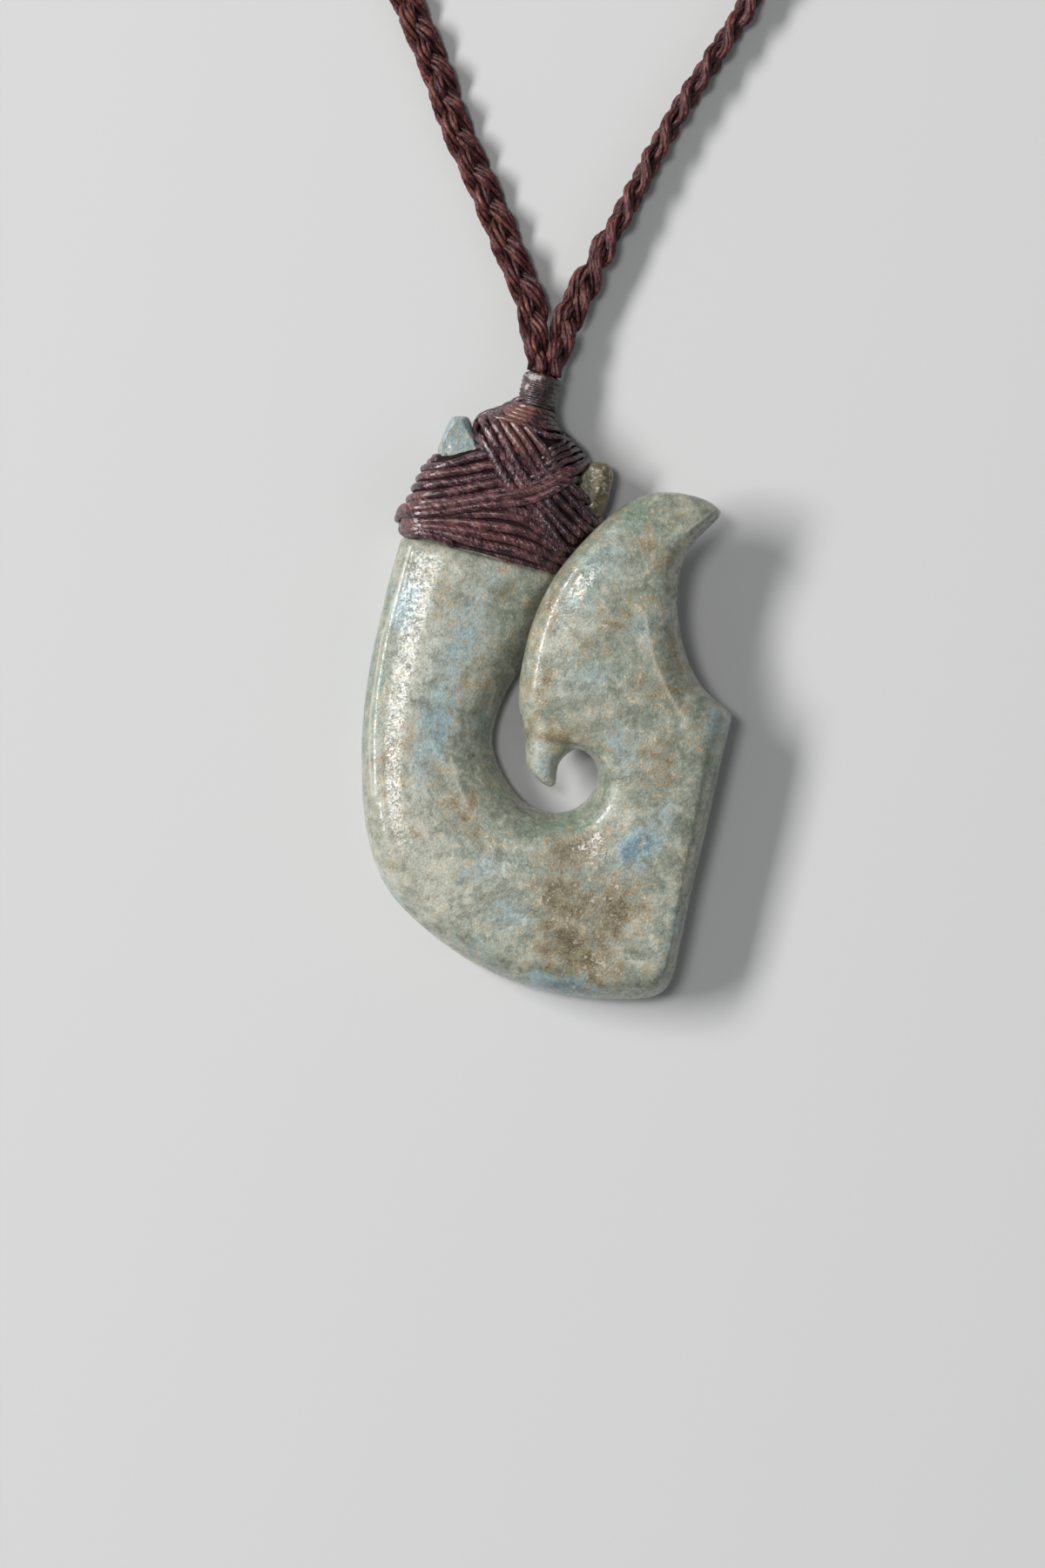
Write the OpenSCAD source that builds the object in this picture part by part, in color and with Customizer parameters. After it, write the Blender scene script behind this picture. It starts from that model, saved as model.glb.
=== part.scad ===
// A hei matau: a fish hook carved from one stone, lashed at its head to a plaited waxed cord.
// It lies on its flat back. +Y runs up the shank, +X from the shank to the point, +Z out of the front.

/* [Hook] */
// Height of the stone, from its lowest edge to the top of the left ear
hook_h = 55.75; // [50:0.25:62]
// Distance over which the back edges are rounded
back_round = 1.2; // [0.6:0.1:1.6]
// Height of the widest line of an edge, as a share of the thickness there
rim_share = 0.42; // [0.3:0.01:0.55]

/* [Lashing] */
// Clear gap between the stone and the thread wound round its head
fit_gap = 0.1; // [0.05:0.01:0.15]

/* [Whipping] */
// Diameter of the dark whipping round the neck of the cord
whip_d = 3.8; // [3.2:0.1:4.2]
// Length of the whipping along the cord
whip_len = 2.8; // [2.4:0.1:3.2]

/* [Braid] */
// Width of the plait across its flat side
braid_w = 3.1; // [2.8:0.1:3.2]
// Thickness of the plait
braid_t = 2.2; // [1.8:0.1:2.2]

/* [Back join] */
// Diameter of the plain wound sleeve that joins the two plaits behind the neck
join_d = 4.4; // [4:0.1:5]
// Length of the sleeve
join_len = 12; // [10:1:16]

/* [Hidden] */

STONE = [0.74, 0.76, 0.70];
LASHING_THREAD = [0.30, 0.14, 0.13];
WHIPPING_THREAD = [0.12, 0.09, 0.09];
BRAID_CORD = [0.38, 0.18, 0.17];

// All tables below are in millimetres on a stone of this height
TABLE_H = 55.75;
k = hook_h / TABLE_H;

// How finely a section is drawn
front_step = 15;
back_step = 30;
crown_points = 3;
hook_steps = 3;
lash_steps = 3;
braid_steps = 2;
braid_sides = 8;
// The flats of the tube, not its corners, stand at the full width and thickness of the plait
flat_share = 1 / cos(180 / braid_sides);

// Columns of a section row: where the section starts and ends in plan, the heights of its back and of
// its front near each end, the width of the rounding at each end, and how far the front is domed
OUT_X = 0;
OUT_Y = 1;
IN_X = 2;
IN_Y = 3;
BACK = 4;
OUT_Z = 5;
IN_Z = 6;
OUT_E = 7;
IN_E = 8;
CROWN = 9;

// The hook from the foot of the lashing down the shank, round the bend and up to the tip of the fluke.
// The outer end of a row is on the outside of the bend, the inner end on the side of the hole.
HOOK_ROWS = [
    // OUT_X   OUT_Y    IN_X    IN_Y  BACK OUT_Z IN_Z OUT_E IN_E CROWN
    [-11.60,  32.10,   4.55,  27.90, 0.0, 5.4, 4.1, 1.6, 2.4, 1.2],
    [-12.85,  27.65,   2.25,  24.60, 0.0, 5.5, 4.1, 1.6, 2.8, 1.3],
    [-14.60,  20.00,  -0.15,  19.60, 0.0, 5.7, 4.3, 1.6, 3.2, 1.4],
    [-15.35,  14.15,  -2.00,  16.15, 0.0, 6.0, 4.6, 1.8, 3.6, 1.3],
    [-15.45,  10.00,  -2.90,  12.90, 0.0, 6.3, 5.0, 2.0, 3.6, 1.1],
    [-15.10,   4.60,  -2.50,  10.65, 0.0, 6.7, 5.6, 2.2, 3.6, 0.8],
    [-13.65,  -0.50,  -1.40,   8.40, 0.0, 7.0, 6.1, 2.4, 3.4, 0.6],
    [-10.85,  -4.20,   0.15,   6.65, 0.0, 7.0, 6.5, 2.4, 3.4, 0.6],
    [ -5.85,  -8.15,   1.85,   5.85, 0.0, 7.0, 6.8, 2.4, 3.4, 0.6],
    [ -0.85, -10.60,   3.35,   5.60, 0.0, 7.0, 7.0, 2.4, 3.4, 0.6],
    [  4.15, -11.85,   4.85,   5.95, 0.0, 7.0, 7.1, 2.4, 3.4, 0.6],
    [  8.75, -12.30,   6.00,   6.70, 0.0, 7.0, 7.2, 2.4, 3.4, 0.6],
    [ 12.10, -12.15,   6.65,   7.50, 0.0, 7.0, 7.3, 2.4, 3.4, 0.6],
    [ 13.60, -11.45,   7.00,   8.25, 0.1, 7.1, 7.4, 2.4, 3.4, 0.6],
    [ 14.45, -10.00,   7.15,   8.90, 0.2, 7.2, 7.4, 2.2, 3.4, 0.6],
    [ 15.20,  -6.70,   7.15,   9.50, 0.4, 7.4, 7.5, 2.0, 3.4, 0.6],
    [ 16.15,  -2.10,   7.00,  10.25, 0.8, 7.6, 7.7, 2.0, 3.4, 0.6],
    [ 17.35,   2.90,   6.50,  11.00, 1.3, 7.8, 7.9, 2.0, 3.2, 0.6],
    [ 18.35,   7.35,   5.65,  11.60, 1.8, 8.0, 8.1, 2.2, 3.0, 0.6],
    [ 19.05,  10.55,   3.35,  12.25, 2.3, 8.1, 8.4, 2.6, 2.8, 0.6],
    [ 19.55,  12.70,   0.30,  12.70, 2.7, 8.1, 8.5, 3.0, 2.8, 0.6],
    [ 20.00,  14.95,   0.00,  13.75, 3.1, 8.0, 8.7, 3.4, 2.8, 0.7],
    [ 18.80,  16.05,  -0.35,  15.40, 3.4, 8.2, 8.9, 3.4, 2.4, 0.7],
    [ 16.95,  17.95,  -0.40,  17.50, 3.8, 8.5, 9.0, 3.2, 2.0, 0.7],
    [ 15.50,  21.05,   0.10,  20.70, 4.2, 8.8, 9.1, 2.8, 2.0, 0.7],
    [ 14.85,  24.60,   1.00,  24.00, 4.5, 9.0, 9.2, 2.6, 2.0, 0.7],
    [ 14.95,  27.95,   2.65,  27.50, 4.7, 9.1, 9.3, 2.4, 2.0, 0.7],
    [ 16.00,  30.85,   4.75,  30.35, 4.9, 9.1, 9.3, 2.2, 2.0, 0.6],
    [ 18.85,  33.85,   7.50,  33.20, 5.1, 8.7, 9.1, 2.6, 2.0, 0.5],
    [ 18.45,  34.80,  10.15,  35.25, 5.4, 8.2, 8.8, 2.6, 2.0, 0.4],
    [ 17.45,  35.45,  12.50,  36.10, 5.8, 7.9, 8.3, 2.0, 2.0, 0.3],
    [ 16.20,  35.85,  14.20,  36.20, 6.3, 7.4, 7.6, 1.0, 1.0, 0.1]
];

// The head under the lashing, cut back all round so that the thread lies nearly flush with the shank
HEAD_ROWS = [
    [ -7.90,  40.10,   6.95,  34.20, 1.2, 5.1, 3.8, 1.4, 1.4, 0.4],
    [ -8.65,  39.20,   6.60,  33.35, 1.2, 5.2, 3.8, 1.6, 1.6, 0.4],
    [ -9.85,  36.65,   5.35,  31.65, 1.2, 5.2, 3.8, 1.6, 1.6, 0.4],
    [-10.50,  33.30,   3.60,  29.30, 1.2, 5.2, 3.8, 1.6, 1.6, 0.4],
    [-10.20,  31.00,   3.40,  27.40, 1.2, 5.2, 3.8, 1.6, 1.6, 0.4]
];

// The two ears that keep the lashing from slipping off, and the barb inside the hole, from the top down
LEFT_EAR_ROWS = [
    [ -6.75,  43.50,  -5.20,  43.50, 2.0, 4.5, 4.5, 0.6, 0.6, 0.0],
    [ -6.90,  43.30,  -5.05,  43.30, 1.8, 4.7, 4.7, 0.7, 0.7, 0.1],
    [ -7.50,  42.10,  -4.60,  41.95, 1.6, 5.0, 4.9, 0.9, 0.9, 0.1],
    [ -8.15,  40.55,  -4.10,  40.35, 1.4, 5.1, 5.0, 1.0, 1.0, 0.1],
    [ -8.05,  39.00,  -3.70,  38.00, 1.3, 5.1, 5.0, 1.0, 1.0, 0.1]
];
RIGHT_EAR_ROWS = [
    [  6.80,  39.20,   8.25,  39.00, 2.1, 4.4, 4.3, 0.6, 0.6, 0.0],
    [  6.25,  38.95,   8.60,  38.60, 1.8, 4.6, 4.5, 0.8, 0.8, 0.1],
    [  5.35,  37.90,   8.75,  37.70, 1.6, 4.7, 4.5, 0.9, 0.9, 0.1],
    [  4.95,  36.20,   8.20,  35.20, 1.4, 4.5, 4.3, 1.0, 1.0, 0.1],
    [  4.50,  33.40,   6.95,  32.60, 1.3, 4.2, 4.0, 1.0, 1.0, 0.1]
];
BARB_ROWS = [
    [  0.60,  14.30,   6.10,  13.60, 3.5, 8.3, 7.9, 2.2, 1.6, 0.1],
    [  0.30,  12.90,   5.50,  12.00, 3.4, 8.0, 7.7, 2.0, 1.6, 0.1],
    [  0.18,  11.40,   4.20,  11.15, 3.3, 7.7, 7.4, 1.7, 1.5, 0.1],
    [  0.40,  10.10,   3.45,  10.30, 3.4, 7.4, 7.1, 1.3, 1.1, 0.1],
    [  0.95,   9.10,   3.30,   9.40, 3.7, 7.0, 6.8, 0.9, 0.8, 0.1],
    [  1.85,   8.38,   3.25,   8.75, 4.0, 6.6, 6.5, 0.5, 0.5, 0.0],
    [  2.70,   8.03,   3.15,   8.25, 4.4, 6.2, 6.2, 0.1, 0.1, 0.0]
];

// The outside of the wound thread: the dome from the neck down over the notch, and the band round the head
DOME_ROWS = [
    [ -0.45,  45.20,   3.00,  44.30, 1.15, 4.9, 4.9, 1.5, 1.5, 0.1],
    [ -1.05,  44.60,   2.85,  43.55, 1.00, 5.0, 5.0, 1.6, 1.6, 0.1],
    [ -2.10,  44.00,   3.00,  42.65, 0.80, 5.4, 5.2, 1.7, 1.7, 0.2],
    [ -3.50,  43.55,   3.70,  41.60, 0.60, 5.9, 5.4, 1.8, 1.8, 0.2],
    [ -4.35,  42.85,   5.00,  40.65, 0.40, 6.3, 5.5, 1.8, 1.8, 0.3],
    [ -4.50,  41.70,   5.85,  39.20, 0.25, 6.4, 5.5, 1.8, 1.8, 0.3],
    [ -4.50,  40.50,   5.45,  37.60, 0.20, 6.3, 5.4, 1.8, 1.8, 0.3],
    [ -4.60,  39.40,   5.50,  35.70, 0.20, 6.0, 5.0, 1.8, 1.8, 0.3]
];
BAND_ROWS = [
    [ -4.60,  40.90,   6.60,  36.40, 0.20, 6.1, 5.3, 1.6, 1.6, 0.3],
    [ -7.60,  40.40,   7.20,  34.90, 0.15, 6.2, 5.2, 1.8, 1.8, 0.3],
    [ -9.05,  39.55,   7.65,  33.60, 0.10, 6.3, 5.1, 2.0, 2.0, 0.4],
    [-10.40,  37.30,   7.60,  32.20, 0.10, 6.3, 5.0, 2.2, 2.0, 0.5],
    [-11.35,  34.85,   6.65,  30.80, 0.10, 6.3, 5.0, 2.2, 2.0, 0.6],
    [-11.75,  32.30,   4.90,  28.10, 0.10, 6.2, 4.9, 2.0, 2.0, 0.7]
];

// Columns of a route row: the middle of the plait, its width and thickness as shares of the full ones,
// and its turn about its own run, where 0 lies flat and 90 stands on edge
POINT_X = 0;
POINT_Y = 1;
POINT_Z = 2;
WIDE = 3;
THICK = 4;
TURN = 5;

// The free stretch of each plait, measured from the middle of the whipping's top, on the floor's level
LEFT_ROUTE = [
    [ -0.9,   2.5, 2.90, 0.76, 1.18, 0],
    [ -1.1,   4.5, 2.55, 0.94, 1.05, 0],
    [ -1.4,   7.0, 2.10, 1.00, 1.00, 0],
    [ -3.3,  12.0, 1.50, 1.00, 1.00, 0],
    [ -5.8,  18.0, 1.20, 1.00, 1.00, 0],
    [ -8.3,  23.5, 1.15, 1.00, 1.00, 0],
    [-10.8,  30.5, 1.15, 1.00, 1.00, 0],
    [-16.3,  43.0, 1.15, 1.00, 1.00, 0],
    [-24.8,  61.0, 1.15, 1.00, 1.00, 0],
    [-34.8,  80.5, 1.15, 1.00, 1.00, 0],
    [-45.3, 100.5, 1.15, 1.00, 1.00, 0],
    [-54.3, 121.5, 1.15, 1.00, 1.00, 0],
    [-59.8, 144.0, 1.15, 1.00, 1.00, 0],
    [-60.8, 167.5, 1.15, 1.00, 1.00, 0],
    [-56.8, 190.5, 1.15, 1.00, 1.00, 0],
    [-47.3, 212.5, 1.15, 1.00, 1.00, 0],
    [-32.3, 231.5, 1.15, 1.00, 1.00, 0],
    [-12.3, 244.5, 1.30, 1.00, 1.00, 0]
];
RIGHT_ROUTE = [
    [  1.7,   2.5, 2.90, 0.76, 1.18, 0],
    [  2.2,   4.5, 2.60, 0.94, 1.08, 5],
    [  3.3,   7.3, 2.25, 1.00, 1.00, 20],
    [  5.5,  11.7, 1.95, 1.00, 1.00, 60],
    [  8.5,  17.1, 1.75, 1.00, 1.00, 90],
    [ 12.5,  24.5, 1.65, 1.00, 1.00, 90],
    [ 17.0,  31.5, 1.65, 1.00, 1.00, 90],
    [ 24.5,  43.0, 1.70, 1.00, 1.00, 70],
    [ 36.0,  59.5, 1.50, 1.00, 1.00, 30],
    [ 49.5,  77.5, 1.20, 1.00, 1.00, 0],
    [ 62.5,  96.5, 1.15, 1.00, 1.00, 0],
    [ 74.0, 117.0, 1.15, 1.00, 1.00, 0],
    [ 83.0, 139.5, 1.15, 1.00, 1.00, 0],
    [ 87.5, 163.5, 1.15, 1.00, 1.00, 0],
    [ 86.5, 187.5, 1.15, 1.00, 1.00, 0],
    [ 79.0, 210.5, 1.15, 1.00, 1.00, 0],
    [ 65.0, 230.5, 1.15, 1.00, 1.00, 0],
    [ 45.0, 244.5, 1.30, 1.00, 1.00, 0]
];

// The whipping stands on the top of the lashing and leans to the right
WHIP_FOOT = [1.32, 44.85, 3.05];
WHIP_LEAN = 14.8;
WHIP_SIDES = 48;
whip_round = 0.5;
whip_run = [sin(WHIP_LEAN), cos(WHIP_LEAN), 0];
whip_across = [cos(WHIP_LEAN), -sin(WHIP_LEAN), 0];
whip_top = k * (WHIP_FOOT + whip_len * whip_run);

// The two plaits leave the whipping side by side, pressed narrow and tall
EXIT_STEPS = [0.1, 0.4, 1.0];
exit_wide = 0.56;
exit_thick = 1.3;
exit_gap = 0.12;
exit_half = (exit_wide * braid_w + exit_gap) / 2;

// The sleeve lies between the far ends of the two plaits, also measured from the whipping's top
JOIN_MIDDLE = [15.8, 250.4];
join_round = 0.8;
join_turn = 2.5;
JOIN_STEPS = [0.1, 2, 6];
join_enter_z = 2.0;

function lerp(a, b, t) = a + (b - a) * t;

// A row between rows i and i + 1, on the smooth curve through them all
function curve_row(rows, i, t) =
    let (
        before = rows[max(i - 1, 0)],
        here = rows[i],
        next = rows[i + 1],
        after = rows[min(i + 2, len(rows) - 1)]
    )
    0.5 * (2 * here + (next - before) * t
        + (2 * before - 5 * here + 4 * next - after) * t * t
        + (3 * here - before - 3 * next + after) * t * t * t);

function smooth_rows(rows, steps) = [
    for (i = [0 : len(rows) - 2]) for (j = [0 : steps - 1]) curve_row(rows, i, j / steps),
    rows[len(rows) - 1]
];

function plan_run(row) = [row[IN_X] - row[OUT_X], row[IN_Y] - row[OUT_Y]];
function plan_w(row) = norm(plan_run(row));

// The point at distance d from the outer end of a row
function point_at(row, d, z) =
    let (s = d / plan_w(row))
    [lerp(row[OUT_X], row[IN_X], s), lerp(row[OUT_Y], row[IN_Y], s), z];

function front_z(row, d) =
    let (s = d / plan_w(row))
    lerp(row[OUT_Z], row[IN_Z], s) + row[CROWN] * 4 * s * (1 - s);

// No section dips below the face that the pendant lies on
function back_z(row) = max(row[BACK], 0);

function rim_z(row, side_z) = lerp(back_z(row), side_z, rim_share);

// One closed section: up over the outer edge, across the domed front, down over the inner edge, and
// back along the flat back
function section(row) =
    let (
        w = plan_w(row),
        out_e = min(row[OUT_E], 0.45 * w),
        in_e = min(row[IN_E], 0.45 * w),
        back_e = min(back_round, 0.3 * w),
        out_rim = rim_z(row, row[OUT_Z]),
        in_rim = rim_z(row, row[IN_Z])
    )
    concat(
        [for (a = [0 : front_step : 90]) let (d = out_e * (1 - cos(a)))
            point_at(row, d, lerp(out_rim, front_z(row, d), sin(a)))],
        [for (i = [1 : crown_points]) let (d = lerp(out_e, w - in_e, i / (crown_points + 1)))
            point_at(row, d, front_z(row, d))],
        [for (a = [90 : -front_step : 0]) let (d = w - in_e * (1 - cos(a)))
            point_at(row, d, lerp(in_rim, front_z(row, d), sin(a)))],
        [for (a = [back_step : back_step : 90])
            point_at(row, w - back_e * (1 - cos(a)), lerp(in_rim, back_z(row), sin(a)))],
        [for (a = [90 : -back_step : back_step])
            point_at(row, back_e * (1 - cos(a)), lerp(out_rim, back_z(row), sin(a)))]
    );

// A closed skin over rings of points, from the first ring to the last
module skin(rings) {
    n = len(rings[0]);
    last = len(rings) - 1;
    polyhedron(
        points = [for (ring = rings) each ring],
        faces = concat(
            [[for (j = [n - 1 : -1 : 0]) j]],
            [for (i = [0 : last - 1]) for (j = [0 : n - 1])
                [i * n + j, i * n + (j + 1) % n, (i + 1) * n + (j + 1) % n, (i + 1) * n + j]],
            [[for (j = [0 : n - 1]) last * n + j]]
        )
    );
}

module loft(rows) {
    skin([for (row = rows) section(row)]);
}

// A row made larger all round by g, for the space that the stone takes inside the lashing
function grown(row, g) =
    let (run = plan_run(row) / plan_w(row))
    row + g * [-run[0], -run[1], run[0], run[1], -1, 1, 1, 1, 1, 0];

function grown_rows(rows, g) = [for (row = rows) grown(row, g)];

// A row moved by g across its own run, towards the ears
function raised(row, g) =
    let (run = plan_run(row) / plan_w(row))
    row + g * [-run[1], run[0], -run[1], run[0], 0, 0, 0, 0, 0, 0];

// Rows made larger by g, which also start g higher
function topped(rows, g) =
    let (larger = grown_rows(rows * k, g))
    g > 0 ? concat([raised(larger[0], g)], larger) : larger;

// Rows made larger by g, which also end g lower
function rooted(rows, g) =
    let (larger = grown_rows(rows * k, g))
    g > 0 ? concat(larger, [raised(larger[len(rows) - 1], -g)]) : larger;

module head(g) {
    loft(topped(HEAD_ROWS, g));
    loft(rooted(LEFT_EAR_ROWS, g));
    loft(rooted(RIGHT_EAR_ROWS, g));
}

module stone_hook() {
    color(STONE) union() {
        loft(smooth_rows(HOOK_ROWS * k, hook_steps));
        loft(BARB_ROWS * k);
        head(0);
    }
}

module head_lashing() {
    color(LASHING_THREAD) difference() {
        union() {
            loft(smooth_rows(BAND_ROWS * k, lash_steps));
            loft(smooth_rows(DOME_ROWS * k, lash_steps));
        }
        head(fit_gap);
    }
}

// A wound cylinder with rounded ends, standing on the origin
module wound_sleeve(d, length, round_r) {
    rotate_extrude($fn = WHIP_SIDES)
        intersection() {
            offset(r = round_r) translate([-d / 2 + round_r, round_r])
                square([d - 2 * round_r, length - 2 * round_r]);
            square([d, length]);
        }
}

module neck_whipping() {
    color(WHIPPING_THREAD) translate(k * WHIP_FOOT)
        rotate([-90, 0, -WHIP_LEAN]) wound_sleeve(whip_d * k, whip_len * k, whip_round);
}

// A place given from the whipping's top, on the floor
function on_floor(place) = [whip_top[0] + place[0], whip_top[1] + place[1], 0];

module back_join() {
    color(WHIPPING_THREAD) translate(on_floor(JOIN_MIDDLE) + [0, 0, join_d / 2])
        rotate([0, 90, join_turn]) translate([0, 0, -join_len / 2])
            wound_sleeve(join_d, join_len, join_round);
}

// The first rows of a plait, straight out of the whipping; side is -1 for the left one and 1 for the right
function whip_rows(side) = [
    for (d = EXIT_STEPS) let (place = d * whip_run + side * exit_half * whip_across)
        [place[0], place[1], whip_top[2], exit_wide, exit_thick, 0]
];

// The last rows of a plait, straight into the sleeve
function join_rows(side) = [
    for (i = [len(JOIN_STEPS) - 1 : -1 : 0]) let (d = side * (join_len / 2 + JOIN_STEPS[i]))
        [JOIN_MIDDLE[0] + d * cos(join_turn), JOIN_MIDDLE[1] + d * sin(join_turn), join_enter_z, 1, 1, 0]
];

// The direction of a route at row i
function route_run(route, i) =
    let (
        ahead = route[min(i + 1, len(route) - 1)],
        behind = route[max(i - 1, 0)],
        run = [ahead[POINT_X] - behind[POINT_X], ahead[POINT_Y] - behind[POINT_Y], 0]
    )
    run / norm(run);

// One ring of the plait, an oval that stands across the route and is turned about it
function plait_ring(route, i) =
    let (
        row = route[i],
        run = route_run(route, i),
        side = [run[1], -run[0], 0],
        up = [0, 0, 1],
        middle = on_floor([row[POINT_X], row[POINT_Y]]) + [0, 0, row[POINT_Z]],
        flat = cos(row[TURN]) * side + sin(row[TURN]) * up,
        tall = -sin(row[TURN]) * side + cos(row[TURN]) * up
    )
    [for (j = [0 : braid_sides - 1]) let (a = (j + 0.5) * 360 / braid_sides)
        middle + flat_share / 2
            * (cos(a) * row[WIDE] * braid_w * flat + sin(a) * row[THICK] * braid_t * tall)];

module plait(side, route) {
    rows = smooth_rows(concat(whip_rows(side), route, join_rows(side)), braid_steps);
    skin([for (i = [0 : len(rows) - 1]) plait_ring(rows, i)]);
}

module braid_left() {
    color(BRAID_CORD) plait(-1, LEFT_ROUTE);
}

module braid_right() {
    color(BRAID_CORD) plait(1, RIGHT_ROUTE);
}

stone_hook();
head_lashing();
neck_whipping();
braid_left();
braid_right();
back_join();
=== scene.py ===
# %% [markdown]
# # A hei matau on its plaited cord
#
# The object is a fish hook carved from one polished stone, lashed at its head with waxed thread to a
# plaited cord loop. It lies on its flat back. The CAD model gives the size and place of every piece.
# This lesson gives each piece its real surface: stone with its mottling, threads that are really wound,
# and a plait whose yarns really cross.
#
# Everything below is in metres. Measures are easier to read in millimetres, so they are multiplied by MM.

# %% Load the frame
import math
import random

import bpy
import numpy as np
from mathutils import Matrix, Vector, noise
from mathutils.bvhtree import BVHTree


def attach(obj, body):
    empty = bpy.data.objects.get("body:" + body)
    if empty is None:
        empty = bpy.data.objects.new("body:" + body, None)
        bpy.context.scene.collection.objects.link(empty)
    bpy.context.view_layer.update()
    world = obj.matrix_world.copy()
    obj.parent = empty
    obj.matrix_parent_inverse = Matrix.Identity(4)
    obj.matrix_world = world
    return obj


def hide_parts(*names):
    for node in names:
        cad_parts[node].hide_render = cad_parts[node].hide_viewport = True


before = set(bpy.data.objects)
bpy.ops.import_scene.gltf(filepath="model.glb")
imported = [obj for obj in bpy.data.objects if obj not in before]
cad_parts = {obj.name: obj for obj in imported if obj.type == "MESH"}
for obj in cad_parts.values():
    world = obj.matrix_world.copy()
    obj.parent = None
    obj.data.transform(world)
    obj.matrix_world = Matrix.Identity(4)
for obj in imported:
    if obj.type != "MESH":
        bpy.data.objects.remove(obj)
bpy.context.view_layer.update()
MM = 0.001
print("CAD nodes:", ", ".join(sorted(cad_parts)))

# %% [markdown]
# ## Camera, floor and light
#
# The photograph was taken straight down, and 12 of its pixels are 1 mm. The frame is 150 mm high, so the
# lens follows from the height of the camera. A long lens keeps the risen fluke from looking larger. The
# finishes below have the colours of the real surfaces, so the view transform is Standard, which keeps them.

# %% Camera
FRAME_HEIGHT = 150 * MM
FRAME_MIDDLE = 8.33 * MM
FOCUS_LEVEL = 4 * MM
CAMERA_AWAY = 0.8
SENSOR = 36.0
NEAREST_SEEN = 0.01
FARTHEST_SEEN = 10

bpy.ops.object.camera_add(location=(0, FRAME_MIDDLE, FOCUS_LEVEL + CAMERA_AWAY), rotation=(0, 0, 0))
camera = bpy.context.object
camera.name = "camera"
camera.data.sensor_fit = "VERTICAL"
camera.data.sensor_height = SENSOR
camera.data.lens = SENSOR * CAMERA_AWAY / FRAME_HEIGHT
camera.data.clip_start = NEAREST_SEEN
camera.data.clip_end = FARTHEST_SEEN
bpy.context.scene.camera = camera
bpy.context.scene.view_settings.view_transform = "Standard"
print("lens", round(camera.data.lens), "mm")

# %% [markdown]
# The floor is plain and pale. Polished stone shows its shape by what it mirrors. A large soft panel on the
# upper left is the main light, and draws the thin bright lines along the rim and the fluke. The shank's
# broad highlight lies where the stone tilts by 6 to 10 degrees, so it mirrors something that is only twice
# as far off the vertical: a small bright panel, high up. A weak panel on the right keeps the far edges
# readable. The panels are far away, so that the floor is lit evenly round the whole loop.

# %% Floor and lights
FLOOR_SIZE = 14.0
FLOOR_COLOUR = (0.6, 0.6, 0.59, 1)
ROOM_COLOUR = (0.8, 0.86, 0.92, 1)
ROOM_STRENGTH = 0.16
LIT_PLACE = (0, 0.02, 0)
# Columns: name, place, width and height in metres, power in watts
PANELS = [
    ("window_panel", (-1.2, 0.35, 1.02), 1.02, 0.3, 29.7),
    ("high_panel", (-0.32, 0.2, 1.5), 0.2, 0.32, 6.0),
    ("fill_panel", (1.5, -0.52, 1.4), 1.0, 1.0, 2.4),
]


def aimed_panel(name, place, width, height, power):
    """A soft rectangular light at place that points at the pendant."""
    direction = Vector(LIT_PLACE) - Vector(place)
    bpy.ops.object.light_add(type="AREA", location=place)
    light = bpy.context.object
    light.name = name
    light.rotation_euler = direction.to_track_quat("-Z", "Y").to_euler()
    light.data.shape = "RECTANGLE"
    light.data.size = width
    light.data.size_y = height
    light.data.energy = power


bpy.ops.mesh.primitive_plane_add(size=FLOOR_SIZE, location=(0, 0, 0))
floor = bpy.context.object
floor.name = "floor"

for panel in PANELS:
    aimed_panel(*panel)

world = bpy.data.worlds.new("soft_room")
bpy.context.scene.world = world
world.use_nodes = True
background = world.node_tree.nodes["Background"]
background.inputs["Color"].default_value = ROOM_COLOUR
background.inputs["Strength"].default_value = ROOM_STRENGTH
print("panels:", len(PANELS))

# %% [markdown]
# ## Writing shaders as sums
#
# A material is a graph of nodes. Wired up one by one it is hard to read, so a small class wraps a socket:
# adding or multiplying wraps adds the Math nodes. Every other node comes from one method.

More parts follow.
